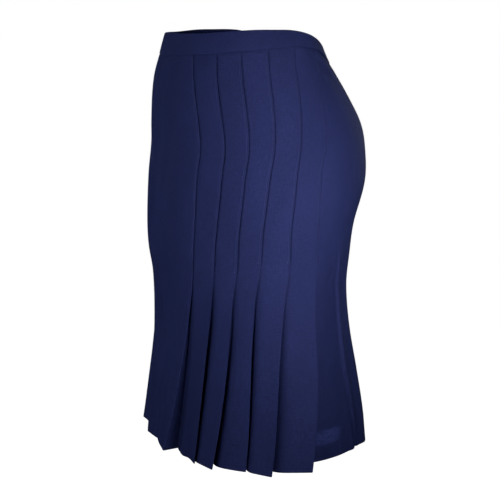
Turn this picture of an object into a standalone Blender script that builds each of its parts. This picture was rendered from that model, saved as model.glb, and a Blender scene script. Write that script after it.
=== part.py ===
"""Pleated skirt: a plain waistband, a front of stitched-down knife pleats and a flared plain back.

Metres, +Z up.  The front of the skirt looks towards -Y and the wearer's left side is +X.
The origin is the middle of the waist opening, at the height of the band's upper edge.
"""
import math
from functools import lru_cache

import bmesh
import bpy
import numpy as np

# Cloth and seams
CLOTH_WALL = 0.0016
BAND_WALL = 0.0026
SEAM_GAP = 0.0003
BAND_HEIGHT = 0.031
SKIRT_LENGTH = 0.568
HEM_SLOPE = 0.02

# Height where the stitching of the pleats ends
RELEASE_HEIGHT = -0.300
# Half of the step that a stitched pleat makes on the surface
STITCHED_STEP = 0.0009

# How far each corner of a fold is cut back, on the outer and on the inner face
FOLD_CUT = {"edge": 0.0008, "valley": 0.0008}
INNER_FOLD_CUT = {"edge": 0.0003, "valley": 0.0018}

# Points along each stretch of a level
CENTRE_POINTS = 6
PANEL_POINTS = 4
BACK_POINTS = 17
BAND_POINTS = 40
BAND_STEPS = 3

# The band stands this far proud of the cloth below it
BAND_PROUD = 0.0012

# Faces that meet at more than this angle in degrees show a crisp line
SHARP_ANGLE = 32.0

NAVY = (0.020, 0.021, 0.085)

# One row for each level of the body curve
SECTION_COLUMNS = ("height", "half_width", "widest_y", "front_y", "back_y")
SECTIONS = (
    (0.000, 0.1180, 0.000, -0.1103, 0.0790),
    (-0.035, 0.1260, 0.000, -0.1208, 0.0925),
    (-0.060, 0.1340, 0.001, -0.1277, 0.1090),
    (-0.090, 0.1450, 0.004, -0.1309, 0.1270),
    (-0.125, 0.1560, 0.006, -0.1313, 0.1451),
    (-0.155, 0.1640, 0.008, -0.1307, 0.1503),
    (-0.200, 0.1700, 0.010, -0.1354, 0.1489),
    (-0.260, 0.1700, 0.006, -0.1379, 0.1299),
    (-0.300, 0.1670, 0.003, -0.1367, 0.1251),
    (-0.340, 0.1640, 0.000, -0.1300, 0.1225),
    (-0.400, 0.1620, 0.000, -0.1270, 0.1295),
    (-0.460, 0.1610, 0.000, -0.1290, 0.1430),
    (-0.520, 0.1605, 0.000, -0.1335, 0.1550),
    (-0.568, 0.1600, 0.000, -0.1380, 0.1605),
)
FRONT_ROUNDNESS = 2.15
BACK_ROUNDNESS = 2.20

# The band's two edges from the centre front 0 to the centre back 1, and how far its top leans in
EDGE_COLUMNS = ("part", "rim_height", "seam_height", "lean")
EDGES = (
    (0.00, -0.0035, -0.0358, 0.0000),
    (0.08, -0.0050, -0.0340, 0.0000),
    (0.20, -0.0047, -0.0315, 0.0000),
    (0.28, -0.0030, -0.0300, 0.0000),
    (0.36, -0.0011, -0.0278, 0.0010),
    (0.43, 0.0000, -0.0255, 0.0020),
    (0.50, 0.0000, -0.0228, 0.0040),
    (0.56, -0.0003, -0.0208, 0.0040),
    (0.605, -0.0022, -0.0214, 0.0020),
    (0.645, -0.0055, -0.0240, 0.0000),
    (0.68, -0.0090, -0.0268, 0.0000),
    (0.705, -0.0120, -0.0290, 0.0000),
    (0.76, -0.0180, -0.0370, 0.0000),
    (0.85, -0.0240, -0.0470, 0.0000),
    (1.00, -0.0255, -0.0520, 0.0000),
)

# The rim lies this much lower at the wearer's right side
RIGHT_RIM_DROP = 0.0025

# Heights of the levels that the cloth is lofted through
LEVELS = (-0.0310, -0.048, -0.068, -0.090, -0.112, -0.135, -0.158, -0.182, -0.208, -0.238,
          -0.270, -0.300, -0.325, -0.355, -0.390, -0.430, -0.475, -0.520, -0.568)

# One row for each fold edge, as parts of the way from the centre front to the centre back.
# The two last columns are for the wearer's right side, which hangs a little differently.
FOLD_COLUMNS = ("name", "waist", "high_hip", "hip", "low_hip", "thigh", "release", "above_knee", "knee", "hem",
                "right_knee", "right_hem")
FOLD_HEIGHTS = (-0.031, -0.088, -0.145, -0.185, -0.235, -0.300, -0.345, -0.440, -0.568)
FOLDS = (
    ("fold_1", 0.187, 0.204, 0.208, 0.200, 0.203, 0.200, 0.186, 0.150, 0.086, 0.140, 0.070),
    ("fold_2", 0.282, 0.284, 0.284, 0.277, 0.276, 0.275, 0.267, 0.238, 0.215, 0.226, 0.186),
    ("fold_3", 0.369, 0.361, 0.350, 0.339, 0.338, 0.341, 0.332, 0.307, 0.272, 0.300, 0.262),
    ("fold_4", 0.464, 0.441, 0.417, 0.402, 0.400, 0.407, 0.389, 0.376, 0.352, 0.372, 0.340),
    ("fold_5", 0.564, 0.524, 0.488, 0.472, 0.473, 0.483, 0.472, 0.444, 0.405, 0.446, 0.412),
    ("fold_6", 0.682, 0.604, 0.563, 0.541, 0.549, 0.565, 0.558, 0.541, 0.505, 0.545, 0.508),
)

# How far each pleat stands open at the hem: edge lifted, valley tucked in and drawn under
OPEN_COLUMNS = ("name", "lift", "tuck", "under", "bow", "right_lift", "right_under")
OPENINGS = (
    ("fold_1", 0.0130, 0.0080, -0.0100, 0.0000, 0.0090, -0.0040),
    ("fold_2", 0.0170, 0.0090, 0.0180, -0.0040, 0.0170, 0.0120),
    ("fold_3", 0.0220, 0.0030, 0.0120, 0.0030, 0.0200, 0.0120),
    ("fold_4", 0.0160, 0.0080, 0.0060, 0.0030, 0.0190, 0.0080),
    ("fold_5", 0.0330, 0.0020, 0.0060, 0.0050, 0.0290, 0.0060),
    ("fold_6", 0.0310, 0.0080, 0.0060, 0.0040, 0.0290, 0.0060),
)
CENTRE_LIFT = 0.0030

# Soft upright ridges and hollows of the plain back, placed as parts of the way round
SOFT_COLUMNS = ("name", "top_part", "hem_part", "width", "top_height", "hem_height")
SOFT_FOLDS = (
    ("side_back_ridge", 0.643, 0.705, 0.022, 0.0012, 0.0035),
    ("side_back_hollow", 0.690, 0.735, 0.022, -0.0008, -0.0020),
    ("back_corner_ridge", 0.740, 0.775, 0.028, 0.0000, 0.0060),
    ("back_hollow", 0.820, 0.860, 0.040, 0.0000, -0.0070),
    ("centre_back_ridge", 0.940, 0.950, 0.045, 0.0000, 0.0030),
)

def smooth(values, heights, z):
    """A value at height z on a smooth curve through the rows, which run downwards."""
    depth = [-h for h in heights]
    at = min(max(-z, depth[0]), depth[-1])
    row = min(int(np.searchsorted(depth, at, side="right")) - 1, len(depth) - 2)
    row = max(row, 0)
    slopes = []
    for k in (row, row + 1):
        low = max(k - 1, 0)
        high = min(k + 1, len(depth) - 1)
        slopes.append((values[high] - values[low]) / (depth[high] - depth[low]))
    span = depth[row + 1] - depth[row]
    t = (at - depth[row]) / span
    start = (2 * t ** 3 - 3 * t ** 2 + 1) * values[row] + (t ** 3 - 2 * t ** 2 + t) * span * slopes[0]
    end = (3 * t ** 2 - 2 * t ** 3) * values[row + 1] + (t ** 3 - t ** 2) * span * slopes[1]
    return start + end


def section_value(name, z):
    column = SECTION_COLUMNS.index(name)
    return smooth([row[column] for row in SECTIONS], [row[0] for row in SECTIONS], z)


@lru_cache(maxsize=None)
def body_curve(z):
    """The smooth curve round the body at one height: plan points, outward normals and distances."""
    half_width = section_value("half_width", z)
    widest = section_value("widest_y", z)
    front = section_value("front_y", z)
    back = section_value("back_y", z)
    turn = np.linspace(0.0, math.pi, 721)
    along = np.cos(turn)
    shape = np.where(along > 0, 2 / FRONT_ROUNDNESS, 2 / BACK_ROUNDNESS)
    x = half_width * np.clip(np.sin(turn), 0, 1) ** shape
    reach = np.abs(along) ** shape
    y = np.where(along > 0, widest - (widest - front) * reach, widest + (back - widest) * reach)
    distance = np.concatenate(([0.0], np.cumsum(np.hypot(np.diff(x), np.diff(y)))))
    normal_x = np.gradient(y, distance)
    normal_y = -np.gradient(x, distance)
    return distance, (x, y, normal_x, normal_y)


def body_point(part, offset, z):
    """Plan point at a part of the way round from centre front to centre back, moved out by offset."""
    distance, columns = body_curve(round(z, 4))
    at = min(max(part, 0.0), 1.0) * distance[-1]
    x, y, normal_x, normal_y = (float(np.interp(at, distance, column)) for column in columns)
    length = math.hypot(normal_x, normal_y)
    return np.array((x + normal_x / length * offset, y + normal_y / length * offset))


def opened(z):
    """How open the pleats are: 0 while they are stitched, 1 at the hem."""
    return min(max((RELEASE_HEIGHT - z) / (RELEASE_HEIGHT + SKIRT_LENGTH), 0.0), 1.0)


def fold_edge(arcs, side, z):
    """Where a fold edge lies at height z, as a part of the half girth."""
    parts = list(arcs[1:1 + len(FOLD_HEIGHTS)])
    if side == "right":
        parts[-2:] = arcs[-2:]
    return smooth(parts, FOLD_HEIGHTS, z)


def fold_places(z, side):
    """Edge and valley of each pleat at height z, as parts of the half girth and offsets."""
    share = opened(z)
    half_girth = body_curve(round(z, 4))[0][-1]
    places = []
    for arcs, opening in zip(FOLDS, OPENINGS):
        name, lift, tuck, under, bow, right_lift, right_under = opening
        if side == "right":
            lift = right_lift
            under = right_under
        edge = fold_edge(arcs, side, z)
        places.append({"edge": edge,
                       "lift": STITCHED_STEP + (lift - STITCHED_STEP) * share,
                       "valley": edge - under * share ** 1.6 / half_girth,
                       "tuck": STITCHED_STEP + (tuck - STITCHED_STEP) * share,
                       "bow": bow * share})
    return places


def soft_fold_offset(part, z):
    """How far the soft folds of the back move the cloth out at a part of the way round."""
    share = opened(z)
    offset = 0.0
    for name, top_part, hem_part, width, top_height, hem_height in SOFT_FOLDS:
        middle = top_part + (hem_part - top_part) * share
        height = top_height + (hem_height - top_height) * share
        if z > RELEASE_HEIGHT:
            height = top_height * max(0.0, 1.0 - (z - RELEASE_HEIGHT) / 0.060)
        offset += height * math.exp(-((part - middle) / width) ** 2)
    return offset


def height_of(z, part):
    """Height of a level at a part of the way round, where the highest ones follow the band."""
    near_band = min(max((z + 0.100) / (0.100 - BAND_HEIGHT), 0.0), 1.0)
    return z + (edge_value("seam_height", part) + BAND_HEIGHT) * near_band ** 2


def half_level(z, side):
    """Half a level from the centre front to the centre back.

    Gives its plan points, their heights, the kind of fold corner at each, and the place of the seam.
    """
    places = fold_places(z, side)
    points = []
    heights = []
    kinds = []

    def add(part, offset, kind=""):
        height = height_of(z, part)
        plan = body_point(part, offset, height)
        points.append(plan)
        heights.append(height - HEM_SLOPE * plan[1] * opened(z))
        kinds.append(kind)

    start = 0.0
    start_offset = STITCHED_STEP + (CENTRE_LIFT - STITCHED_STEP) * opened(z)
    count = CENTRE_POINTS
    for index, place in enumerate(places):
        for k in range(0 if index == 0 else 1, count):
            t = k / count
            bow = place["bow"] * 4 * t * (1 - t)
            add(start + (place["edge"] - start) * t, start_offset + (place["lift"] - start_offset) * t + bow)
        add(place["edge"], place["lift"], "edge")
        add(place["valley"], -place["tuck"], "valley")
        start = place["valley"]
        start_offset = -place["tuck"]
        count = PANEL_POINTS
    seam = len(points) - 1
    kinds[seam] = ""
    for k in range(1, BACK_POINTS + 1):
        t = k / BACK_POINTS
        part = start + (1.0 - start) * t
        add(part, start_offset * (1 - t) ** 2 + soft_fold_offset(part, z))
    if side == "right":
        points = [point * np.array((-1.0, 1.0)) for point in points]
    return np.array(points), np.array(heights), kinds, seam


def moved_in(loop, amount):
    """A closed plan line moved inwards by amount, with each straight stretch kept parallel."""
    before = loop - np.roll(loop, 1, axis=0)
    after = np.roll(loop, -1, axis=0) - loop
    before /= np.linalg.norm(before, axis=1)[:, None]
    after /= np.linalg.norm(after, axis=1)[:, None]
    middle = np.stack((-before[:, 1] - after[:, 1], before[:, 0] + after[:, 0]), axis=1)
    scale = np.sum(middle * middle, axis=1)
    return loop + middle * (2 * amount / scale)[:, None]


def corners_cut(points, kinds, cuts):
    """A line in space with two points in place of each fold corner."""
    result = []
    for index, point in enumerate(points):
        if not kinds[index]:
            result.append(point)
            continue
        for other in (points[index - 1], points[index + 1]):
            away = other - point
            length = np.linalg.norm(away[:2])
            result.append(point + away / length * min(cuts[kinds[index]], length * 0.3))
    return np.array(result)


def edge_value(name, part):
    """A value of the band's edges; part runs from the centre front 0 to the centre back 1."""
    column = EDGE_COLUMNS.index(name)
    return smooth([row[column] for row in EDGES], [-row[0] for row in EDGES], -part)


def level_walls(z):
    """Outer and inner points of a level, divided into the front and the two back pieces."""
    sides = {side: half_level(z, side) for side in ("left", "right")}
    count = len(sides["left"][0])
    loop = np.concatenate((sides["left"][0], sides["right"][0][-2:0:-1]))
    inner_loop = moved_in(loop, CLOTH_WALL)
    inner = {"left": inner_loop[:count], "right": np.roll(inner_loop, -1, axis=0)[::-1][:count]}
    walls = {}
    for face, cuts in (("outer", FOLD_CUT), ("inner", INNER_FOLD_CUT)):
        fronts = {}
        walls[face] = {}
        for side, (plan, heights, kinds, seam) in sides.items():
            line = np.column_stack((plan if face == "outer" else inner[side], heights))
            fronts[side] = corners_cut(line[:seam + 1], kinds, cuts)
            back = line[seam:].copy()
            along = back[1] - back[0]
            back[0] += along / np.linalg.norm(along) * SEAM_GAP * 1.5
            back[-1, 0] = math.copysign(SEAM_GAP / 2, back[-2, 0])
            walls[face]["back_" + side] = back
        walls[face]["front"] = np.concatenate((fronts["right"][::-1][:-1], fronts["left"]))
    return walls


def wall(name, outer, inner, colour):
    """A closed cloth wall through rows of outer and inner points, its four edges capped."""
    rows = len(outer)
    count = len(outer[0])
    mesh = bpy.data.meshes.new(name)
    form = bmesh.new()
    faces = []
    for points_by_row in (outer, inner):
        faces.append([[form.verts.new(point) for point in row] for row in points_by_row])
    out, into = faces
    for r in range(rows - 1):
        for k in range(count - 1):
            form.faces.new((out[r][k], out[r + 1][k], out[r + 1][k + 1], out[r][k + 1]))
            form.faces.new((into[r][k], into[r][k + 1], into[r + 1][k + 1], into[r + 1][k]))
    for k in range(count - 1):
        form.faces.new((out[0][k], out[0][k + 1], into[0][k + 1], into[0][k]))
        form.faces.new((out[-1][k], into[-1][k], into[-1][k + 1], out[-1][k + 1]))
    for r in range(rows - 1):
        form.faces.new((out[r][0], into[r][0], into[r + 1][0], out[r + 1][0]))
        form.faces.new((out[r][-1], out[r + 1][-1], into[r + 1][-1], into[r][-1]))
    bmesh.ops.recalc_face_normals(form, faces=form.faces)
    bmesh.ops.triangulate(form, faces=form.faces)
    form.to_mesh(mesh)
    form.free()
    mesh.polygons.foreach_set("use_smooth", [True] * len(mesh.polygons))
    mesh.set_sharp_from_angle(angle=math.radians(SHARP_ANGLE))
    part = bpy.data.objects.new(name, mesh)
    part.data.materials.append(cloth_material(name + "_cloth", colour))
    bpy.context.collection.objects.link(part)
    return part


def cloth_material(name, colour):
    """Plain woven cloth in one colour."""
    material = bpy.data.materials.new(name)
    material.use_nodes = True
    shader = material.node_tree.nodes["Principled BSDF"]
    shader.inputs["Base Color"].default_value = (*colour, 1.0)
    shader.inputs["Roughness"].default_value = 0.85
    return material


def build_cloth(levels, name):
    """One piece of the skirt's cloth, lofted through all levels."""
    outer = [walls["outer"][name] for walls in levels]
    inner = [walls["inner"][name] for walls in levels]
    return wall(name, outer, inner, NAVY)


def band_point(part, side, depth, up):
    """A point of the waistband, up from 0 at its seam to 1 at its rim."""
    low = edge_value("seam_height", part) + SEAM_GAP
    high = edge_value("rim_height", part)
    if side == "right":
        high -= RIGHT_RIM_DROP * math.sin(math.pi * part) ** 2
    height = low + (high - low) * up
    lean = edge_value("lean", part) * up
    plan = body_point(part, BAND_PROUD - depth - lean, height)
    x = plan[0] if part < 1 else SEAM_GAP / 2
    return (x if side == "left" else -x, plan[1], height)


def build_waistband():
    """The plain band, open at the centre back where its two ends meet."""
    outer = []
    inner = []
    for step in range(BAND_STEPS + 1):
        for rows, depth in ((outer, 0.0), (inner, BAND_WALL)):
            parts = [k / BAND_POINTS for k in range(BAND_POINTS + 1)]
            right = [band_point(part, "right", depth, step / BAND_STEPS) for part in parts[:0:-1]]
            left = [band_point(part, "left", depth, step / BAND_STEPS) for part in parts]
            rows.append(np.array(right + left))
    return wall("waistband", outer, inner, NAVY)


def main():
    for thing in list(bpy.data.objects):
        bpy.data.objects.remove(thing, do_unlink=True)
    levels = [level_walls(z) for z in LEVELS]
    build_waistband()
    for name in ("front", "back_left", "back_right"):
        build_cloth(levels, name)


main()
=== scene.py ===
"""The look of a pleated skirt: fine cloth over the plain solids, stitching, camera, light and floor."""

import math
from functools import lru_cache

import bpy
import numpy as np
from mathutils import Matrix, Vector


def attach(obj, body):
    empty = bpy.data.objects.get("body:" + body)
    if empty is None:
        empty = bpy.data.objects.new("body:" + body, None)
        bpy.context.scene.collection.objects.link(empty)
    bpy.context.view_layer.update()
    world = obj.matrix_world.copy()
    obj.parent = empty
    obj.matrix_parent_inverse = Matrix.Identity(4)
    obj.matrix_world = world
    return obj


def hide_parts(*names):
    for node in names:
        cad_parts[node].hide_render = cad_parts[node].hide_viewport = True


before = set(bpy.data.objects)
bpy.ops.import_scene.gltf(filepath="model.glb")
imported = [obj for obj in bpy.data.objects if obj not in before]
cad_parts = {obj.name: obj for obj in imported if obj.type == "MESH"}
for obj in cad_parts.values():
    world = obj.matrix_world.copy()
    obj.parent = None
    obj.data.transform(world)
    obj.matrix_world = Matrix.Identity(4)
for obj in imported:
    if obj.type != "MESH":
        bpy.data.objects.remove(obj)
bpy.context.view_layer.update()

# Cloth and seams
CLOTH = 0.0009
HEM_FOLD = 0.0009
HEM_DEPTH = 0.040
# How long the step to the turned-up hem is, and the rounding of its lowest edge: reach and share of the wall
HEM_STEP = 0.0016
HEM_ROUNDING = (0.0012, 0.4)
# The print of the hem's inner edge on the outside: height of the ridge and its half width
HEM_PRINT = (0.00016, 0.0022)
SEAM_GAP = 0.0003
CLOTH_GAP = 0.00004
# Half of the width by which the cloths cover each other at the centre back, so that no light shows through
BACK_COVER = 0.00005
# The hollow along the centre back seam and the groove below the band: depth and half width
SEAM_HOLLOW = (0.0005, 0.0022)
BAND_GROOVE = (0.0009, 0.0014)
# The cloth's upper edge reaches this far up into the band
TOP_RISE = 0.0016
BAND_HEIGHT = 0.031
BAND_WALL = 0.0024
BAND_PROUD = 0.0012
BAND_CROWN = 0.0003
# How far down from the rim the levels of the cloth follow the band's seam
BAND_PULL = 0.100
# The band's section from its foot upwards: the foot in shares of the wall and heights, the shares of its
# height with a point on the outside, the points over the rim, and the shares with a point on the inside
BAND_FOOT = ((-0.125, 0.0006), (0.0, 0.0013))
BAND_OUTSIDE = (0.12, 0.3, 0.5, 0.7, 0.88)
BAND_RIM_STEPS = 8
BAND_INSIDE = (0.75, 0.5, 0.25, 0.04)
BAND_SOLE = (-1.1, -0.4)
# The band's slight waviness: amount, waves along the part, waves up, start
BAND_WAVES = ((0.00018, 37.0, 90.0, 0.0), (0.00012, 61.0, 0.0, 2.0))
# The last points of the band stand this near to its end, as a part of the half girth
BAND_END = 0.0012
# The share by which the band is thicker inside at its seam, where the allowances lie
BAND_SEAM_SWELL = 0.28
SKIRT_LENGTH = 0.568
HEM_SLOPE = 0.02
RELEASE_HEIGHT = -0.300
CENTRE_LIFT = 0.0030

# Half of the step that a stitched pleat makes, and how round its folds are
STITCHED_STEP = 0.0006
FOLD_RADIUS = {"edge": (0.0022, 0.0013), "valley": (0.0004, 0.0010)}
# The largest share of the stretch before a fold's edge, and of any other stretch, that a rounding takes up
FOLD_SHARE = {"edge": 0.85, "valley": 0.45}
STITCH_INSET = 0.0028
STITCH_GROOVE = 0.00022
# Over what height a fold's stitching loses its hold
STITCH_END = 0.006

# The narrow dark line beside a stitched fold: how deep the next panel dips there, how far across, and
# over what height below the band it begins
SLOT_DEPTH = 0.0010
SLOT_WIDTH = 0.0010
SLOT_START = 0.008

# How far the cloth below a fold runs in under its edge, and how much deeper it lies there,
# while stitched and where the pleat is open. It grows over a height, and how fast is a power.
UNDERLAY = (0.0010, 0.0095)
UNDERLAY_DIP = (0.0003, 0.0022)
UNDERLAY_GROWTH = (0.045, 0.8)
# The power of a pleat's opening by which its valley is drawn under
DRAWN_UNDER = 1.6

# How gently a pleat begins to stand open below its stitching, and how steeply the next panel
# rises out of the fold
RELEASE_SOFTNESS = 0.05
PANEL_CURL = (0.0, 0.5, 2.6, 3.0, 3.0, 3.0)
CURL_FALL = 4

# Points of the body curve, and along each stretch of a level of the cloth
BODY_POINTS = 721
CENTRE_POINTS = 20
PANEL_POINTS = 10
# Closer points: beside the valley as shares of a short stretch, and about the stitching, in insets from
# the fold's edge
VALLEY_SHARES = (0.14, 0.30, 0.50, 0.75)
VALLEY_STRETCH = 0.08
PLAIN_INSETS = 1.8
STITCH_INSETS = (1.25, 1.0, 0.75)
UNDERLAY_POINTS = 4
RETURN_POINTS = 3
FILLET_POINTS = 5
BACK_POINTS = 110
BACK_CROWDING = 1.25
BAND_POINTS = 110
# The fine levels: first and last height of each stretch, and how many levels it has
LEVEL_STRETCHES = (
    (-0.031, -0.0345, 5),
    (-0.040, -0.284, 44),
    (-0.287, -0.322, 17),
    (-0.326, -0.518, 36),
    (-0.5225, -0.5335, 8),
    (-0.538, -0.564, 7),
    (-0.5663, -0.5674, 2),
)

# Stitches: pitch, length and thread radius of each kind
PLEAT_STITCH = (0.0031, 0.0023, 0.00016)
HEM_STITCH = (0.0085, 0.0011, 0.00011)
TACK_STITCH = (0.0019, 0.0018, 0.00030)
# How far above the release its tack sits, how far past it a row goes, and where its first stitch begins
TACK_RISE = 0.002
ROW_PAST = 0.001
STITCH_START = 0.0003
# How far before and behind a point its direction along the row is taken
STITCH_LOOK = 0.0005
THREAD_SIDES = 6
# From how many degrees an edge of the cloth and of a thread looks crisp
CLOTH_CRISP = 40
THREAD_CRISP = 80
# Rings of one stitch: share of its length, share of the radius, and lift from the cloth in radii
STITCH_RINGS = ((0.0, 0.35, -0.9), (0.12, 0.85, 0.1), (0.5, 1.0, 0.75), (0.88, 0.85, 0.1), (1.0, 0.35, -0.9))

# Colours and weave
NAVY = (0.0081, 0.0112, 0.0420)
THREAD = (0.0100, 0.0140, 0.0520)
FLOOR_COLOUR = (0.90, 0.90, 0.90)
WHITE = (1.0, 1.0, 1.0, 1.0)
CLOTH_ROUGHNESS = 0.50
CLOTH_GLOSS = 0.18
GLOSS_TINT = (0.33, 0.33, 1.0, 1.0)
THREAD_ROUGHNESS = 0.5
THREAD_GLOSS = 0.4
THREAD_TWIST = 900.0
THREAD_SHADES = (0.75, 1.15)
FLOOR_ROUGHNESS = 0.9
THREAD_PITCH = 0.00052

# Noise of the cloth, as waves a metre across and up and how detailed: thick threads of the warp and of the
# weft, fuzz, the grain's two directions, clouds of shade and the pressed patch
SLUBS = ((1500.0, 55.0), (60.0, 1500.0))
FUZZ = (420.0, 420.0, 4.0)
GRAINS = ((620.0, 150.0), (170.0, 640.0))
CLOUDS = (18.0, 11.0, 3.0)
PATCH_NOISE = (230.0, 260.0)
# Height of each in the bump, and the bump's strength and depth
WEAVE_HEIGHT = 0.30
SLUB_HEIGHT = 0.60
FUZZ_HEIGHT = 0.35
GRAIN_HEIGHT = 0.90
BUMP = (0.60, 0.00025)
# Shade of each, from its low and high values to the darkest and lightest shade
SLUB_SHADE = (0.55, 1.45, 0.76, 1.24)
CLOUD_SHADE = (0.3, 0.7, 0.94, 1.06)
GRAIN_SHADE = (0.6, 1.4, 0.80, 1.20)

# A mottled stretch of the back hem painted lighter: its middle and half size on the flat piece, how square
# its corners are, and how much lighter it is
LIGHTER_HEM_PATCH = ((0.041, -0.516), (0.022, 0.012))
PATCH_SQUARENESS = 4.0
PATCH_SHADE = 1.9

# Floor, light and camera
FLOOR_HEIGHT = -1.05
FLOOR_REACH = 60.0
FLOOR_GLOW = 1.0
WORLD_LIGHT = 1.0
LIGHT_AIM = (0.0, 0.0, -0.22)

# Each soft light: name, degrees round from the wearer's left, degrees above the level, distance, size,
# degrees of spread, power, and whether it shines in the cloth's sheen
LIGHTS = (
    ("hip", 12, 3, 1.3, 0.35, 30, 0.77, True),
    ("side_low", 8, -5, 2.2, 0.8, 26, 1.30, False),
    ("side_back", 30, 15, 2.2, 0.8, 40, 0.20, False),
    ("side_middle", 15, 15, 2.2, 0.8, 30, 0.42, False),
    ("side_high", 45, 40, 2.2, 0.8, 40, 0.27, True),
    ("front_high", -45, 40, 2.2, 0.8, 40, 1.00, False),
    ("front_left_low", -45, -5, 2.2, 0.8, 36, 0.74, False),
    ("front_low", -65, -5, 2.2, 0.8, 36, 1.15, False),
    ("front_right_low", -110, -5, 2.2, 0.8, 40, 1.30, False),
    ("rim", 122, 5, 2.2, 0.8, 40, 0.07, True),
    ("back_left", 138, 10, 2.2, 0.8, 40, 1.00, False),
    ("back", 158, 20, 2.2, 0.8, 40, 1.80, False),
    ("back_right", -155, 15, 2.2, 0.8, 40, 1.80, False),
)
CAMERA_TURN = 22.0
CAMERA_DIP = 11.33
CAMERA_DISTANCE = 1.6
CAMERA_HEIGHT = 0.015
CAMERA_LENS = 83.52
CAMERA_SENSOR = 36.0

# One row for each level of the body curve
SECTION_COLUMNS = ("height", "half_width", "widest_y", "front_y", "back_y")
SECTIONS = (
    (0.000, 0.1180, 0.000, -0.1103, 0.0790),
    (-0.035, 0.1260, 0.000, -0.1208, 0.0925),
    (-0.060, 0.1340, 0.001, -0.1277, 0.1090),
    (-0.090, 0.1450, 0.004, -0.1309, 0.1270),
    (-0.125, 0.1560, 0.006, -0.1313, 0.1451),
    (-0.155, 0.1640, 0.008, -0.1307, 0.1503),
    (-0.200, 0.1700, 0.010, -0.1354, 0.1489),
    (-0.260, 0.1700, 0.006, -0.1379, 0.1299),
    (-0.300, 0.1670, 0.003, -0.1367, 0.1251),
    (-0.340, 0.1640, 0.000, -0.1300, 0.1225),
    (-0.400, 0.1620, 0.000, -0.1270, 0.1295),
    (-0.460, 0.1610, 0.000, -0.1290, 0.1430),
    (-0.520, 0.1605, 0.000, -0.1335, 0.1550),
    (-0.568, 0.1600, 0.000, -0.1380, 0.1605),
)
# How much higher the band's rim lies on the wearer's right than the table of edges says
RIGHT_RIM = ((0.00, 0.0), (0.20, 0.0002), (0.32, -0.0019), (0.45, -0.0014), (0.56, -0.0009), (0.63, 0.0008),
             (0.75, 0.0006), (1.00, 0.0))

FRONT_ROUNDNESS = 2.15
BACK_ROUNDNESS = 2.20

# The band's two edges from the centre front 0 to the centre back 1, and how far its top leans in
EDGE_COLUMNS = ("part", "rim_height", "seam_height", "lean")
EDGES = (
    (0.00, -0.0035, -0.0358, 0.0000),
    (0.08, -0.0050, -0.0340, 0.0000),
    (0.20, -0.0047, -0.0315, 0.0000),
    (0.28, -0.0030, -0.0300, 0.0000),
    (0.36, -0.0011, -0.0278, 0.0010),
    (0.43, 0.0000, -0.0255, 0.0020),
    (0.50, 0.0000, -0.0228, 0.0040),
    (0.56, -0.0003, -0.0208, 0.0040),
    (0.605, -0.0022, -0.0214, 0.0020),
    (0.645, -0.0055, -0.0240, 0.0000),
    (0.68, -0.0090, -0.0268, 0.0000),
    (0.705, -0.0120, -0.0290, 0.0000),
    (0.76, -0.0180, -0.0370, 0.0000),
    (0.85, -0.0240, -0.0470, 0.0000),
    (1.00, -0.0255, -0.0520, 0.0000),
)

# One row for each fold edge, as parts of the way from the centre front to the centre back, at the waist,
# high hip, hip, low hip, thigh, release, above the knee, knee and hem. The two last columns are knee and hem
# of the wearer's right side, which hangs a little differently.
FOLD_HEIGHTS = (-0.031, -0.088, -0.145, -0.185, -0.235, -0.300, -0.345, -0.440, -0.568)
FOLDS = (
    ("fold_1", 0.187, 0.204, 0.208, 0.200, 0.203, 0.199, 0.182, 0.138, 0.087, 0.132, 0.070),
    ("fold_2", 0.282, 0.284, 0.284, 0.277, 0.276, 0.271, 0.259, 0.234, 0.217, 0.222, 0.186),
    ("fold_3", 0.369, 0.361, 0.350, 0.339, 0.338, 0.338, 0.3245, 0.303, 0.273, 0.300, 0.262),
    ("fold_4", 0.464, 0.441, 0.417, 0.402, 0.400, 0.401, 0.3855, 0.3665, 0.351, 0.368, 0.340),
    ("fold_5", 0.564, 0.524, 0.488, 0.472, 0.473, 0.480, 0.4645, 0.435, 0.408, 0.440, 0.412),
    ("fold_6", 0.682, 0.604, 0.563, 0.541, 0.549, 0.565, 0.558, 0.541, 0.505, 0.545, 0.508),
)

# How far each pleat stands open at the hem: edge lifted, valley tucked in and drawn under, and how much its
# panel bows. The two last columns are lift and drawn under on the wearer's right.
OPENINGS = (
    ("fold_1", 0.0130, 0.0080, -0.0100, 0.0000, 0.0090, -0.0040),
    ("fold_2", 0.0170, 0.0090, 0.0180, -0.0040, 0.0170, 0.0120),
    ("fold_3", 0.0220, 0.0030, 0.0120, 0.0030, 0.0200, 0.0120),
    ("fold_4", 0.0160, 0.0080, 0.0060, 0.0030, 0.0190, 0.0080),
    ("fold_5", 0.0330, 0.0020, 0.0060, 0.0050, 0.0290, 0.0060),
    ("fold_6", 0.0310, 0.0020, 0.0060, 0.0040, 0.0290, 0.0060),
)

# How far below its start a soft fold or a crease has grown to its full height
SOFT_GROWTH = 0.060

# Soft upright ridges and hollows of the plain back: place at the top and at the hem and width, all as parts
# of the way round, and height at the top and at the hem
SOFT_FOLDS = (
    ("side_back_ridge", 0.643, 0.705, 0.022, 0.0012, 0.0035),
    ("side_back_hollow", 0.690, 0.735, 0.022, -0.0008, -0.0020),
    ("back_corner_ridge", 0.740, 0.775, 0.028, 0.0000, 0.0060),
    ("back_hollow", 0.820, 0.860, 0.040, 0.0000, -0.0070),
    ("centre_back_ridge", 0.940, 0.950, 0.045, 0.0000, 0.0030),
)

# Where the stitching of each fold ends, on the wearer's left and right
RELEASES = {
    "left": (-0.314, -0.313, -0.304, -0.292, -0.292, -0.300),
    "right": (-0.312, -0.314, -0.305, -0.296, -0.294, -0.300),
}

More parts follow.
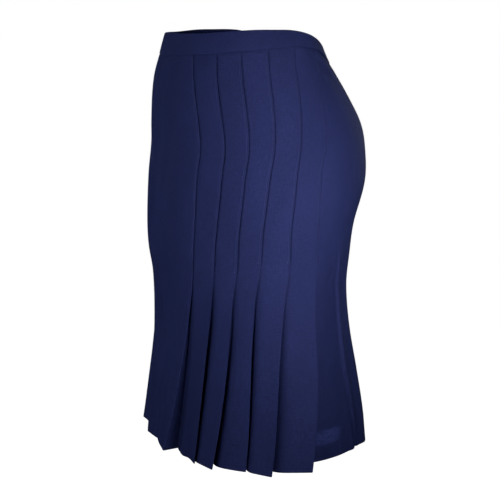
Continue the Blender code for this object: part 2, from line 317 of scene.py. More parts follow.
# Long soft creases of the back that run down to the hem, a sharp hollow with a ridge behind it: side, part
# of the way round at each height, depth of the hollow, height of the ridge, and where it starts
LINE_HEIGHTS = (-0.285, -0.331, -0.397, -0.463, -0.568)
LINES = (
    ("side_line", "left", 0.640, 0.653, 0.664, 0.673, 0.722, -0.0038, 0.0008, -0.268),
    ("side_line_right", "right", 0.634, 0.642, 0.652, 0.668, 0.706, -0.0034, 0.0008, -0.266),
    ("back_line", "left", 0.800, 0.806, 0.812, 0.822, 0.835, -0.0010, 0.0018, -0.330),
    ("back_line_right", "right", 0.815, 0.818, 0.826, 0.830, 0.842, -0.0009, 0.0020, -0.320),
)

# How far the hollow reaches before and behind its line, and place and width of the ridge
LINE_BEFORE = 0.022
LINE_BEHIND = 0.0026
LINE_RIDGE = (0.0095, 0.0070)

# Where a stretch of the hem hangs lower: side, middle and width as parts of the way round, drop
HEM_DROPS = (
    ("left", 0.125, 0.038, 0.0050),
    ("right", 0.110, 0.036, 0.0040),
)

# Small creases: side, middle as a part of the way round and a height, length, width, turn in degrees, depth
CREASES = (
    ("below_band", "left", 0.690, -0.052, 0.045, 0.0060, -52, -0.0024),
    ("below_band_ridge", "left", 0.712, -0.046, 0.040, 0.0060, -52, 0.0012),
    ("side_pull", "left", 0.626, -0.316, 0.020, 0.0040, 48, -0.0013),
    ("side_pull_low", "left", 0.655, -0.330, 0.024, 0.0050, 60, -0.0006),
    ("below_band_right", "right", 0.700, -0.054, 0.045, 0.0060, -50, -0.0014),
    ("side_pull_right", "right", 0.622, -0.322, 0.022, 0.0045, 50, -0.0008),
    ("seat_soft", "left", 0.900, -0.235, 0.110, 0.0150, 12, -0.0012),
    ("seat_soft_right", "right", 0.880, -0.245, 0.100, 0.0150, 8, -0.0012),
    ("lap_soft", "left", 0.060, -0.190, 0.120, 0.0140, 82, -0.0009),
    ("lap_soft_right", "right", 0.090, -0.150, 0.100, 0.0130, 76, -0.0008),
)

# The cloth's slight unevenness: amount, waves round, waves up and start. The first two grow to the hem.
RIPPLES = ((0.00022, 41.0, 17.0, 0.6), (0.00016, 73.0, -31.0, 0.0))
RIPPLE_AT_TOP = 0.35
FINE_RIPPLE = (0.00010, 23.0, 58.0, 1.3)


def clamped(share):
    return min(max(share, 0.0), 1.0)


def bell(distance, width):
    """A soft hump: 1 in the middle, falling away over the width."""
    return math.exp(-(distance / width) ** 2)


def smooth(values, heights, z):
    """A value at height z on a smooth curve through the rows, which run downwards."""
    depth = [-h for h in heights]
    at = min(max(-z, depth[0]), depth[-1])
    row = min(int(np.searchsorted(depth, at, side="right")) - 1, len(depth) - 2)
    row = max(row, 0)
    slopes = []
    for k in (row, row + 1):
        low = max(k - 1, 0)
        high = min(k + 1, len(depth) - 1)
        slopes.append((values[high] - values[low]) / (depth[high] - depth[low]))
    span = depth[row + 1] - depth[row]
    t = (at - depth[row]) / span
    start = (2 * t ** 3 - 3 * t ** 2 + 1) * values[row] + (t ** 3 - 2 * t ** 2 + t) * span * slopes[0]
    end = (3 * t ** 2 - 2 * t ** 3) * values[row + 1] + (t ** 3 - t ** 2) * span * slopes[1]
    return start + end


def section_value(name, z):
    column = SECTION_COLUMNS.index(name)
    return smooth([row[column] for row in SECTIONS], [row[0] for row in SECTIONS], z)


@lru_cache(maxsize=None)
def body_curve(z):
    """The smooth curve round the body at one height: plan points, outward normals and distances."""
    half_width = section_value("half_width", z)
    widest = section_value("widest_y", z)
    front = section_value("front_y", z)
    back = section_value("back_y", z)
    turn = np.linspace(0.0, math.pi, BODY_POINTS)
    along = np.cos(turn)
    shape = np.where(along > 0, 2 / FRONT_ROUNDNESS, 2 / BACK_ROUNDNESS)
    x = half_width * np.clip(np.sin(turn), 0, 1) ** shape
    reach = np.abs(along) ** shape
    y = np.where(along > 0, widest - (widest - front) * reach, widest + (back - widest) * reach)
    distance = np.concatenate(([0.0], np.cumsum(np.hypot(np.diff(x), np.diff(y)))))
    normal_x = np.gradient(y, distance)
    normal_y = -np.gradient(x, distance)
    return distance, (x, y, normal_x, normal_y)


def body_point(part, offset, z):
    """Plan point at a part of the way round from centre front to centre back, moved out by offset."""
    distance, columns = body_curve(round(z, 4))
    at = clamped(part) * distance[-1]
    x, y, normal_x, normal_y = (float(np.interp(at, distance, column)) for column in columns)
    length = math.hypot(normal_x, normal_y)
    return np.array((x + normal_x / length * offset, y + normal_y / length * offset))


def opened(z):
    """How open the lower skirt hangs: 0 while the pleats are stitched, 1 at the hem."""
    return clamped((RELEASE_HEIGHT - z) / (RELEASE_HEIGHT + SKIRT_LENGTH))


def fold_edge(arcs, side, z):
    """Where a fold edge lies at height z, as a part of the half girth."""
    parts = list(arcs[1:1 + len(FOLD_HEIGHTS)])
    if side == "right":
        parts[-2:] = arcs[-2:]
    return smooth(parts, FOLD_HEIGHTS, z)


def open_share(z, release):
    """How far a pleat stands open at height z: 0 at its release, 1 at the hem, with a soft start."""
    share = clamped((release - z) / (release + SKIRT_LENGTH))
    return share * share / (share + RELEASE_SOFTNESS) * (1 + RELEASE_SOFTNESS)


def fold_places(z, side):
    """Edge and valley of each pleat at height z, as parts of the half girth and offsets."""
    half_girth = body_curve(round(z, 4))[0][-1]
    places = []
    for arcs, opening, release in zip(FOLDS, OPENINGS, RELEASES[side]):
        _, lift, tuck, under, bow, right_lift, right_under = opening
        share = open_share(z, release)
        growth, power = UNDERLAY_GROWTH
        grown = clamped((release - z) / growth) ** power
        underlay, dip = (low + (high - low) * grown for low, high in (UNDERLAY, UNDERLAY_DIP))
        if side == "right":
            lift = right_lift
            under = right_under
        edge = fold_edge(arcs, side, z)
        places.append({"edge": edge,
                       "lift": STITCHED_STEP + (lift - STITCHED_STEP) * share,
                       "valley": edge - under * share ** DRAWN_UNDER / half_girth,
                       "underlay": underlay / half_girth,
                       "dip": dip,
                       "tuck": STITCHED_STEP + (tuck - STITCHED_STEP) * share,
                       "bow": bow * share,
                       "stitched": clamped((z - release) / STITCH_END)})
    return places


def soft_fold_offset(part, z):
    """How far the soft folds of the back move the cloth out at a part of the way round."""
    share = opened(z)
    offset = 0.0
    for _, top_part, hem_part, width, top_height, hem_height in SOFT_FOLDS:
        middle = top_part + (hem_part - top_part) * share
        height = top_height + (hem_height - top_height) * share
        if z > RELEASE_HEIGHT:
            height = top_height * max(0.0, 1.0 - (z - RELEASE_HEIGHT) / SOFT_GROWTH)
        offset += height * bell(part - middle, width)
    return offset


def height_of(z, part):
    """Height of a level at a part of the way round, where the highest ones follow the band."""
    near_band = clamped((z + BAND_PULL) / (BAND_PULL - BAND_HEIGHT))
    return z + (edge_value("seam_height", part) + BAND_HEIGHT) * near_band ** 2


def crease_offset(part, z, side):
    """How far the small creases move the cloth out at one place."""
    half_girth = body_curve(round(z, 3))[0][-1]
    offset = 0.0
    for _, crease_side, middle, height, length, width, turn, depth in CREASES:
        if crease_side != side:
            continue
        across = (part - middle) * half_girth
        up = z - height
        angle = math.radians(turn)
        along = across * math.cos(angle) + up * math.sin(angle)
        beside = up * math.cos(angle) - across * math.sin(angle)
        offset += depth * bell(along, length / 2) * bell(beside, width)
    return offset


def hem_drop(part, z, side):
    """How much lower the cloth hangs at one place than the even hem."""
    return sum(drop * opened(z) ** 2 * bell(part - middle, width)
               for drop_side, middle, width, drop in HEM_DROPS if drop_side == side)


def line_offset(part, z, side):
    """How far the long creases of the back move the cloth at one place."""
    half_girth = body_curve(round(z, 3))[0][-1]
    offset = 0.0
    for row in LINES:
        hollow, ridge, start = row[-3:]
        if row[1] != side or z > start:
            continue
        middle = smooth(row[2:-3], LINE_HEIGHTS, z)
        grown = min((start - z) / SOFT_GROWTH, 1.0)
        beside = (part - middle) * half_girth
        nearness = math.exp(beside / LINE_BEFORE) if beside < 0 else bell(beside, LINE_BEHIND)
        ridge_place, ridge_width = LINE_RIDGE
        offset += grown * (hollow * nearness + ridge * bell(beside - ridge_place, ridge_width))
    return offset


def wave(part, z, amount, waves_round, waves_up, start):
    return amount * math.sin(waves_round * part + waves_up * z + start)


def ripple(part, z):
    """The slight unevenness of hanging cloth."""
    grown = RIPPLE_AT_TOP + (1 - RIPPLE_AT_TOP) * opened(z)
    return grown * sum(wave(part, z, *row) for row in RIPPLES) + wave(part, z, *FINE_RIPPLE)


def edge_value(name, part):
    """A value of the band's edges; part runs from the centre front 0 to the centre back 1."""
    column = EDGE_COLUMNS.index(name)
    return smooth([row[column] for row in EDGES], [-row[0] for row in EDGES], -part)


def panel_shares(count, inset, from_valley):
    """Places of the points across a panel, with closer ones at the stitching beside its fold."""
    shares = [k / count * (1 - PLAIN_INSETS * inset) for k in range(1, count + 1)]
    near_valley = [share * min(inset, VALLEY_STRETCH) for share in VALLEY_SHARES] if from_valley else []
    return [0.0] + near_valley + shares + [1 - number * inset for number in STITCH_INSETS]


def half_level(z, side, rise=0.0):
    """Half a level from the centre front to the centre back, lifted by rise.

    Gives its plan points, their heights, the kind of each point, and the place of the seam.
    """
    places = fold_places(z, side)
    half_girth = body_curve(round(z, 4))[0][-1]
    print_height, print_width = HEM_PRINT
    groove_depth, groove_width = BAND_GROOVE
    level_offset = print_height * bell(z + SKIRT_LENGTH - HEM_DEPTH, print_width)
    level_offset -= groove_depth * bell(z + BAND_HEIGHT, groove_width)
    below_band = clamped((-BAND_HEIGHT - z) / SLOT_START)
    points = []
    heights = []
    kinds = []

    def add(part, offset, kind=""):
        height = height_of(z, part)
        drape = ripple(part, z) + crease_offset(part, z, side) + line_offset(part, z, side)
        plan = body_point(part, offset + drape + level_offset, height)
        points.append(plan)
        heights.append(height - HEM_SLOPE * plan[1] * opened(z) - hem_drop(part, z, side) + rise)
        kinds.append(kind)

    start = 0.0
    start_offset = STITCHED_STEP + (CENTRE_LIFT - STITCHED_STEP) * opened(z)
    stitched = 0.0
    for index, place in enumerate(places):
        span = place["edge"] - start
        count = PANEL_POINTS if index else CENTRE_POINTS
        shares = panel_shares(count, STITCH_INSET / half_girth / span, index > 0)
        for number, t in enumerate(shares):
            bow = place["bow"] * 4 * t * (1 - t)
            rise_share = t + PANEL_CURL[index] * t * (1 - t) ** CURL_FALL
            offset = start_offset + (place["lift"] - start_offset) * rise_share + bow
            offset -= SLOT_DEPTH * stitched * bell(span * t * half_girth, SLOT_WIDTH)
            kind = ""
            if number == len(shares) - 2:
                offset -= STITCH_GROOVE * place["stitched"]
                kind = "stitching"
            add(start + span * t, offset, kind)
        add(place["edge"], place["lift"], "edge")
        start = place["valley"]
        start_offset = -place["tuck"]
        stitched = place["stitched"] * below_band
        for k in range(UNDERLAY_POINTS):
            left = 1 - k / UNDERLAY_POINTS
            dip = place["dip"] * below_band * left ** 2 + SLOT_DEPTH * stitched
            add(start - place["underlay"] * left, start_offset - dip, "" if k else "valley")
    add(start, start_offset - SLOT_DEPTH * stitched)
    seam = len(points) - 1 - UNDERLAY_POINTS
    kinds[seam] = ""
    hollow_depth, hollow_width = SEAM_HOLLOW
    for k in range(1, BACK_POINTS + 1):
        t = (k / BACK_POINTS) ** BACK_CROWDING
        part = start + (1.0 - start) * t
        hollow = hollow_depth * bell((1 - part) * half_girth, hollow_width)
        hollow += SLOT_DEPTH * stitched * bell((part - start) * half_girth, SLOT_WIDTH)
        add(part, start_offset * (1 - t) ** 2 + soft_fold_offset(part, z) - hollow)
    if side == "right":
        points = [point * np.array((-1.0, 1.0)) for point in points]
    return np.array(points), np.array(heights), kinds, seam


def moved_in(loop, amount):
    """A closed plan line moved inwards by amount, with each straight stretch kept parallel."""
    before = loop - np.roll(loop, 1, axis=0)
    after = np.roll(loop, -1, axis=0) - loop
    before /= np.linalg.norm(before, axis=1)[:, None]
    after /= np.linalg.norm(after, axis=1)[:, None]
    middle = np.stack((-before[:, 1] - after[:, 1], before[:, 0] + after[:, 0]), axis=1)
    scale = np.sum(middle * middle, axis=1)
    return loop + middle * (2 * amount / scale)[:, None]


def fillet(line, index, kind, face):
    """Points round one fold corner of a line, over at most a share of the stretches beside it."""
    point = line[index]
    away = [line[index - 1] - point, line[index + 1] - point]
    lengths = [np.linalg.norm(leg[:2]) for leg in away]
    away = [leg / length for leg, length in zip(away, lengths)]
    cosine = float(np.clip(np.dot(away[0][:2], away[1][:2]), -0.999, 0.999))
    half_angle = math.acos(cosine) / 2
    reach = FOLD_RADIUS[kind][face] / math.tan(half_angle)
    first = point + away[0] * min(reach, FOLD_SHARE[kind] * lengths[0])
    last = point + away[1] * min(reach, FOLD_SHARE["valley"] * lengths[1])
    shares = np.linspace(0.0, 1.0, FILLET_POINTS)[:, None]
    return first * (1 - shares) ** 2 + point * (2 * shares * (1 - shares)) + last * shares ** 2


def rounded_line(line, kinds, face):
    """A line whose fold corners are rounded, with extra points on the return of each fold."""
    result = []
    labels = []
    for index, kind in enumerate(kinds[:len(line)]):
        if kind not in FOLD_RADIUS:
            result.append(line[index][None])
            labels.append(kind)
        else:
            turn = fillet(line, index, kind, face)
            result.append(turn)
            labels += [""] * len(turn)
        if kind == "edge":
            last = result[-1][-1]
            if kinds[index + 1] == "valley":
                following = fillet(line, index + 1, "valley", face)[0]
            else:
                following = line[index + 1]
            shares = np.linspace(0.0, 1.0, RETURN_POINTS + 2)[1:-1, None]
            result.append(last + (following - last) * shares)
            labels += [""] * RETURN_POINTS
    return np.concatenate(result), labels


def cloth_level(z, outer_in, inner_in, rise=0.0):
    """Outer and inner points of one level of the front and of the two back pieces."""
    sides = {side: half_level(z, side, rise) for side in ("left", "right")}
    count = len(sides["left"][0])
    loop = np.concatenate((sides["left"][0], sides["right"][0][-2:0:-1]))
    level = {}
    for face, amount in enumerate((outer_in, inner_in)):
        moved = moved_in(loop, amount) if amount else loop
        plans = {"left": moved[:count], "right": np.roll(moved, -1, axis=0)[::-1][:count]}
        fronts = {}
        for side, (_, heights, kinds, seam) in sides.items():
            line = np.column_stack((plans[side], heights))
            fronts[side], labels = rounded_line(line[:seam + 1], kinds[:seam + 1], face)
            back = line[seam:].copy()
            along = back[1] - back[0]
            back[0] += along / np.linalg.norm(along) * CLOTH_GAP
            back[-1, 0] = -math.copysign(BACK_COVER, back[-2, 0])
            level["back_" + side, face] = back if side == "left" else back[::-1]
        level["front", face] = np.concatenate((fronts["right"][::-1][:-1], fronts["left"]))
        level["labels"] = labels[::-1][:-1] + labels
    return level


def level_heights():
    """Heights of the fine levels, closer together at the pleats' release and at the hem."""
    heights = [float(z) for stretch in LEVEL_STRETCHES for z in np.linspace(*stretch)]
    return heights + [-SKIRT_LENGTH]


def cloth_walls(z):
    """How far in from the surface the outer and the inner face of the cloth lie at one height."""
    above_hem = z + SKIRT_LENGTH
    turned_up = clamped((HEM_DEPTH - above_hem) / HEM_STEP + 0.5)
    wall = CLOTH + HEM_FOLD * turned_up
    reach, share = HEM_ROUNDING
    rounding = share * wall * max(0.0, 1 - above_hem / reach) ** 2
    return rounding, wall - rounding


def shell(name, outer, inner, material):
    """A thin closed shell through rows of outer and inner points, from top to bottom."""
    outer = np.array(outer)
    inner = np.array(inner)
    rows, count = outer.shape[:2]
    points = np.concatenate((outer.reshape(-1, 3), inner.reshape(-1, 3)))
    out = np.arange(rows * count).reshape(rows, count)
    into = out + rows * count
    quads = [
        (out[:-1, :-1], out[1:, :-1], out[1:, 1:], out[:-1, 1:]),
        (into[:-1, :-1], into[:-1, 1:], into[1:, 1:], into[1:, :-1]),
        (out[0, :-1], out[0, 1:], into[0, 1:], into[0, :-1]),
        (out[-1, :-1], into[-1, :-1], into[-1, 1:], out[-1, 1:]),
        (out[:-1, 0], into[:-1, 0], into[1:, 0], out[1:, 0]),
        (out[:-1, -1], out[1:, -1], into[1:, -1], into[:-1, -1]),
    ]
    faces = np.concatenate([np.stack(quad, axis=-1).reshape(-1, 4) for quad in quads])
    across = np.concatenate(([0.0], np.cumsum(np.linalg.norm(np.diff(outer, axis=1), axis=2).mean(axis=0))))
    down = np.concatenate(([0.0], np.cumsum(np.linalg.norm(np.diff(outer, axis=0), axis=2).mean(axis=1))))
    flat = np.stack(np.meshgrid(across, -down), axis=-1).reshape(-1, 2)
    return mesh_piece(name, points, faces.tolist(), np.concatenate((flat, flat)), material)


def mesh_piece(name, points, faces, flat, material, crisp=CLOTH_CRISP):
    """A mesh object with a weave layout in metres and smooth shading but for its crisp edges."""
    mesh = bpy.data.meshes.new(name)
    mesh.from_pydata(points.tolist(), [], faces)
    mesh.update()
    layer = mesh.uv_layers.new(name="weave")
    corner_points = np.empty(len(mesh.loops), dtype=np.int32)
    mesh.loops.foreach_get("vertex_index", corner_points)
    layer.data.foreach_set("uv", np.asarray(flat, dtype=np.float32)[corner_points].ravel())
    mesh.polygons.foreach_set("use_smooth", [True] * len(mesh.polygons))
    mesh.set_sharp_from_angle(angle=math.radians(crisp))
    mesh.materials.append(material)
    piece = bpy.data.objects.new(name, mesh)
    bpy.context.collection.objects.link(piece)
    return piece


def band_section(part, side):
    """Points round the band's cross-section at one place, from the outer lower edge over the rim."""
    low = edge_value("seam_height", part) + SEAM_GAP
    high = edge_value("rim_height", part)
    if side == "right":
        high += smooth([row[1] for row in RIGHT_RIM], [-row[0] for row in RIGHT_RIM], -part)
    lean = edge_value("lean", part)
    radius = BAND_WALL / 2
    tall = high - low
    straight = tall - radius
    outline = [(share * BAND_WALL, up) for share, up in BAND_FOOT]
    outline += [(BAND_CROWN * math.sin(math.pi * t), t * straight) for t in BAND_OUTSIDE]
    for angle in np.linspace(0.0, math.pi, BAND_RIM_STEPS + 1):
        outline.append((radius * (math.cos(angle) - 1), straight + radius * math.sin(angle)))
    outline += [(-BAND_WALL * (1 + BAND_SEAM_SWELL * (1 - t) ** 2), t * straight) for t in BAND_INSIDE]
    outline += [(share * BAND_WALL, 0.0) for share in BAND_SOLE]
    points = []
    for depth, up in outline:
        height = low + up
        soft = sum(wave(part, up, *row) for row in BAND_WAVES)
        plan = body_point(part, BAND_PROUD + depth + soft - lean * up / tall, height)
        x = plan[0] if part < 1 else -BACK_COVER
        points.append((x if side == "left" else -x, plan[1], height))
    return points


def build_waistband(material):
    """The band as one tube of flat section, with its two ends meeting at the centre back."""
    parts = [k / BAND_POINTS for k in range(BAND_POINTS)] + [1 - BAND_END, 1.0]
    sections = [band_section(part, "right") for part in parts[:0:-1]]
    sections += [band_section(part, "left") for part in parts]
    rows = np.array(sections)
    count, around = rows.shape[:2]
    index = np.arange(count * around).reshape(count, around)
    following = np.roll(index, -1, axis=1)
    faces = np.stack((index[:-1], index[1:], following[1:], following[:-1]), axis=-1).reshape(-1, 4)
    faces = faces.tolist() + [index[0].tolist(), index[-1][::-1].tolist()]
    along = np.concatenate(([0.0], np.cumsum(np.linalg.norm(np.diff(rows[:, 4], axis=0), axis=1))))
    up = np.concatenate(([0.0], np.cumsum(np.linalg.norm(np.diff(rows[count // 2], axis=0), axis=1))))
    flat = np.stack((np.repeat(along, around), np.tile(up, count)), axis=-1)
    return mesh_piece("waistband_cloth", rows.reshape(-1, 3), faces, flat, material)


def surface_path(outer, row=None, column=None, first=0, last=None):
    """Points and outward normals of the cloth's face along one row or column."""
    grid = np.array(outer)
    down = np.gradient(grid, axis=0)
    across = np.gradient(grid, axis=1)
    normals = np.cross(down, across)
    normals /= np.linalg.norm(normals, axis=2)[..., None]
    if row is not None:
        return grid[row, first:last], normals[row, first:last]
    return grid[first:last, column], normals[first:last, column]


def stitch_points(path, normals, start, length, radius):
    """The ring points of one stitch that starts at a distance along the path."""
    distance = np.concatenate(([0.0], np.cumsum(np.linalg.norm(np.diff(path, axis=0), axis=1))))

    def along(at, columns):
        return np.array([np.interp(at, distance, columns[:, axis]) for axis in range(3)])

    rings = []
    for share, size, lift in STITCH_RINGS:
        at = start + share * length
        middle = along(at, path)
        outward = along(at, normals)
        forward = along(at + STITCH_LOOK, path) - along(at - STITCH_LOOK, path)
        beside = np.cross(forward / np.linalg.norm(forward), outward)
        beside /= np.linalg.norm(beside)
        for k in range(THREAD_SIDES):
            angle = math.tau * k / THREAD_SIDES
            rings.append(middle + outward * radius * (lift + size * math.sin(angle))
                         + beside * radius * size * math.cos(angle))
    return rings


def build_stitching(name, paths, material, stitch):
    """Rows of stitches along paths, joined in one mesh."""
    pitch, length, radius = stitch
    points = []
    faces = []
    for path, normals in paths:
        total = float(np.linalg.norm(np.diff(path, axis=0), axis=1).sum())
        for number in range(int((total - length) / pitch) + 1):
            base = len(points)
            points += stitch_points(path, normals, number * pitch + STITCH_START, length, radius)
            last = len(points) - THREAD_SIDES
            for ring in range(base, last, THREAD_SIDES):
                for k in range(THREAD_SIDES):
                    a = ring + k
                    b = ring + (k + 1) % THREAD_SIDES
                    faces.append((a, b, b + THREAD_SIDES, a + THREAD_SIDES))
            faces.append(tuple(reversed(range(base, base + THREAD_SIDES))))
            faces.append(tuple(range(last, last + THREAD_SIDES)))
    points = np.array(points)
    return mesh_piece(name, points, faces, points[:, [0, 2]], material, THREAD_CRISP)


def cloth_material(name, colour, patch=None):
    """Fine plain-woven wool blend: threads, slubs, slight changes of shade and a soft sheen.

    The patch, if there is one, is a mottled stretch of the hem painted lighter.
    """
    material = bpy.data.materials.new(name)
    material.use_nodes = True
    nodes = material.node_tree.nodes
    links = material.node_tree.links
    shader = nodes["Principled BSDF"]
    shader.inputs["Roughness"].default_value = CLOTH_ROUGHNESS
    shader.inputs["Specular IOR Level"].default_value = CLOTH_GLOSS
    shader.inputs["Specular Tint"].default_value = GLOSS_TINT

    layout = nodes.new("ShaderNodeUVMap")
    layout.uv_map = "weave"
    split = nodes.new("ShaderNodeSeparateXYZ")
    links.new(layout.outputs["UV"], split.inputs[0])

    def math_node(operation, first, second=None):
        node = nodes.new("ShaderNodeMath")
        node.operation = operation
        for socket, value in zip(node.inputs, (first, second)):
            if value is None:
                continue
            if isinstance(value, (int, float)):
                socket.default_value = value
            else:
                links.new(value, socket)
        return node.outputs[0]

    def noise(scale_across, scale_up, detail=2.0):
        placed = nodes.new("ShaderNodeMapping")
        placed.inputs["Scale"].default_value = (scale_across, scale_up, 1.0)
        links.new(layout.outputs["UV"], placed.inputs["Vector"])
        texture = nodes.new("ShaderNodeTexNoise")
        texture.noise_dimensions = "2D"
        texture.inputs["Scale"].default_value = 1.0
        texture.inputs["Detail"].default_value = detail
        links.new(placed.outputs["Vector"], texture.inputs["Vector"])
        return texture.outputs["Fac"]

    def shaded(value, low, high, darkest, lightest):
        ramp = nodes.new("ShaderNodeMapRange")
        ramp.inputs["From Min"].default_value = low
        ramp.inputs["From Max"].default_value = high
        ramp.inputs["To Min"].default_value = darkest
        ramp.inputs["To Max"].default_value = lightest
        links.new(value, ramp.inputs["Value"])
        return ramp.outputs["Result"]

    warp = math_node("SINE", math_node("MULTIPLY", split.outputs["X"], math.tau / THREAD_PITCH))
    weft = math_node("SINE", math_node("MULTIPLY", split.outputs["Y"], math.tau / THREAD_PITCH))
    weave = math_node("MULTIPLY", warp, weft)
    slub = math_node("ADD", *(noise(*row) for row in SLUBS))
    grain = math_node("ADD", *(noise(*row) for row in GRAINS))
    height = math_node("MULTIPLY", weave, WEAVE_HEIGHT)
    for part, amount in ((slub, SLUB_HEIGHT), (noise(*FUZZ), FUZZ_HEIGHT), (grain, GRAIN_HEIGHT)):
        height = math_node("ADD", height, math_node("MULTIPLY", part, amount))

    shade = math_node("MULTIPLY", shaded(slub, *SLUB_SHADE), shaded(noise(*CLOUDS), *CLOUD_SHADE))
    shade = math_node("MULTIPLY", shade, shaded(grain, *GRAIN_SHADE))
    # The patch paints a mottled stretch of the hem lighter in the cloth's colour
    if patch:
        away = []
        for axis, middle, size in zip("XY", *patch):
            share = math_node("DIVIDE", math_node("SUBTRACT", split.outputs[axis], middle), size)
            away.append(math_node("POWER", share, PATCH_SQUARENESS))
        inside = math_node("SUBTRACT", 1.0, math_node("MINIMUM", math_node("ADD", *away), 1.0))
        inside = math_node("MULTIPLY", inside, noise(*PATCH_NOISE))
        lighter = math_node("ADD", 1.0, math_node("MULTIPLY", inside, PATCH_SHADE))
        shade = math_node("MULTIPLY", shade, lighter)
    mixed = nodes.new("ShaderNodeVectorMath")
    mixed.operation = "SCALE"
    mixed.inputs[0].default_value = colour
    links.new(shade, mixed.inputs["Scale"])
    links.new(mixed.outputs["Vector"], shader.inputs["Base Color"])

    bump = nodes.new("ShaderNodeBump")
    strength, depth = BUMP
    bump.inputs["Strength"].default_value = strength
    bump.inputs["Distance"].default_value = depth
    links.new(height, bump.inputs["Height"])
    links.new(bump.outputs["Normal"], shader.inputs["Normal"])
    return material


def thread_material(name, colour):
    """Twisted sewing thread."""
    material = bpy.data.materials.new(name)
    material.use_nodes = True
    nodes = material.node_tree.nodes
    links = material.node_tree.links
    shader = nodes["Principled BSDF"]
    shader.inputs["Roughness"].default_value = THREAD_ROUGHNESS
    shader.inputs["Specular IOR Level"].default_value = THREAD_GLOSS
    place = nodes.new("ShaderNodeTexCoord")
    twist = nodes.new("ShaderNodeTexWave")
    twist.inputs["Scale"].default_value = THREAD_TWIST
    twist.wave_type = "BANDS"
    twist.bands_direction = "DIAGONAL"
    links.new(place.outputs["Object"], twist.inputs["Vector"])
    ramp = nodes.new("ShaderNodeValToRGB")
    for element, shade in zip(ramp.color_ramp.elements, THREAD_SHADES):
        element.color = tuple(shade * value for value in colour) + (1.0,)
    links.new(twist.outputs["Fac"], ramp.inputs["Fac"])
    links.new(ramp.outputs["Color"], shader.inputs["Base Color"])
    return material


def floor_material(name):
    """Pale floor with a glow of its own, so that it stays even."""
    material = bpy.data.materials.new(name)
    material.use_nodes = True
    shader = material.node_tree.nodes["Principled BSDF"]
    shader.inputs["Base Color"].default_value = (*FLOOR_COLOUR, 1.0)
    shader.inputs["Roughness"].default_value = FLOOR_ROUGHNESS
    shader.inputs["Emission Color"].default_value = WHITE
    shader.inputs["Emission Strength"].default_value = FLOOR_GLOW
    return material


def nearest_level(heights, z):
    return min(range(len(heights)), key=lambda k: abs(heights[k] - z))


def build_pleat_stitching(pieces, front, labels, heights, thread):
    """The stitched rows beside the folds, and the small tack where each row ends."""
    columns = [k for k, label in enumerate(labels) if label == "stitching"]
    releases = list(RELEASES["right"][::-1]) + list(RELEASES["left"])
    tacks = []
    rows = []
    for column, release in zip(columns, releases):
        level = nearest_level(heights, release + TACK_RISE)
        tacks.append(surface_path(front, row=level, first=column - 2, last=column + 3))
        last = sum(1 for z in heights if z > release - ROW_PAST)
        rows.append(surface_path(front, column=column, last=last))
    pieces["tacks"] = build_stitching("release_tacks", tacks, thread, TACK_STITCH)
    for side, paths in (("right", rows[:len(FOLDS)]), ("left", rows[len(FOLDS):])):
        name = "stitching_" + side
        pieces[name] = build_stitching("pleat_" + name, paths, thread, PLEAT_STITCH)


def build_skirt():
    """The three cloth pieces, the band and the stitching."""
    cloth = cloth_material("navy_cloth", NAVY)
    # The back left piece carries the mottled stretch of hem painted lighter
    lighter_patch_cloth = cloth_material("navy_cloth_lighter_patch", NAVY, LIGHTER_HEM_PATCH)
    thread = thread_material("navy_thread", THREAD)
    heights = level_heights()
    levels = [cloth_level(z, *cloth_walls(z), TOP_RISE if z == heights[0] else 0.0) for z in heights]
    outers = {}
    pieces = {}
    for name in ("front", "back_left", "back_right"):
        outers[name] = [level[name, 0] for level in levels]
        inner = [level[name, 1] for level in levels]
        pieces[name] = shell(name + "_cloth", outers[name], inner, lighter_patch_cloth if name == "back_left" else cloth)
    pieces["waistband"] = build_waistband(cloth)
    build_pleat_stitching(pieces, outers["front"], levels[0]["labels"], heights, thread)
    hem_row = nearest_level(heights, HEM_DEPTH - SKIRT_LENGTH)
    for name, outer in outers.items():
        path = surface_path(outer, row=hem_row)
        pieces["hem_" + name] = build_stitching("hem_stitching_" + name, [path], thread, HEM_STITCH)
    return pieces


def declare(pieces):
    """Hang each piece on the root and hide the plain solids that the cloth stands in for."""
    for piece in pieces.values():
        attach(piece, "root")
    for name in ("front", "back_left", "back_right", "waistband"):
        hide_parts(name)


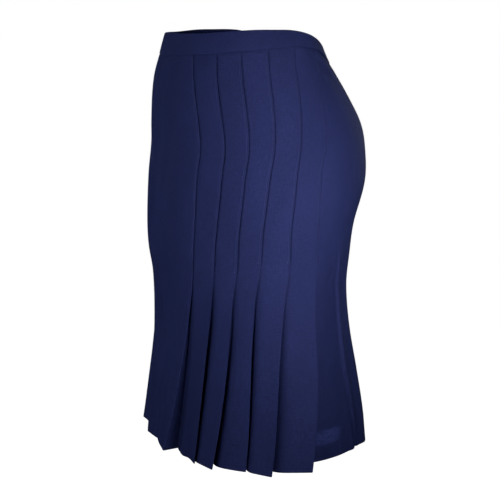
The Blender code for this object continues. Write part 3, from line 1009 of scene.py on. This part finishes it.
def build_stage():
    """A plain pale floor, soft light and the camera."""
    mesh = bpy.data.meshes.new("floor")
    reach = FLOOR_REACH
    mesh.from_pydata([(-reach, -reach, FLOOR_HEIGHT), (reach, -reach, FLOOR_HEIGHT),
                      (reach, reach, FLOOR_HEIGHT), (-reach, reach, FLOOR_HEIGHT)], [], [(0, 1, 2, 3)])
    mesh.materials.append(floor_material("pale_floor"))
    floor = bpy.data.objects.new("floor", mesh)
    floor.visible_diffuse = False
    floor.visible_glossy = False
    bpy.context.collection.objects.link(floor)

    world = bpy.data.worlds.new("studio")
    world.use_nodes = True
    background = world.node_tree.nodes["Background"]
    background.inputs["Color"].default_value = WHITE
    background.inputs["Strength"].default_value = WORLD_LIGHT
    world.cycles_visibility.diffuse = False
    world.cycles_visibility.glossy = False
    bpy.context.scene.world = world
    bpy.context.scene.view_settings.view_transform = "Standard"

    for name, turn, rise, distance, size, spread, power, sheen in LIGHTS:
        light = bpy.data.lights.new(name, "AREA")
        light.size = size
        light.energy = power
        light.spread = math.radians(spread)
        lamp = bpy.data.objects.new(name, light)
        turn = math.radians(turn)
        rise = math.radians(rise)
        away = Vector((math.cos(turn) * math.cos(rise), math.sin(turn) * math.cos(rise), math.sin(rise)))
        lamp.location = Vector(LIGHT_AIM) + distance * away
        lamp.rotation_euler = (-away).to_track_quat("-Z", "Y").to_euler()
        lamp.visible_camera = False
        lamp.visible_glossy = sheen
        bpy.context.collection.objects.link(lamp)

    camera = bpy.data.objects.new("camera", bpy.data.cameras.new("camera"))
    camera.data.sensor_width = CAMERA_SENSOR
    camera.data.lens = CAMERA_LENS
    turn = math.radians(CAMERA_TURN)
    dip = math.radians(CAMERA_DIP)
    camera.location = (CAMERA_DISTANCE * math.cos(turn), -CAMERA_DISTANCE * math.sin(turn), CAMERA_HEIGHT)
    aim = Vector((-math.cos(turn) * math.cos(dip), math.sin(turn) * math.cos(dip), -math.sin(dip)))
    camera.rotation_euler = aim.to_track_quat("-Z", "Y").to_euler()
    bpy.context.collection.objects.link(camera)
    bpy.context.scene.camera = camera


pieces = build_skirt()
declare(pieces)
build_stage()
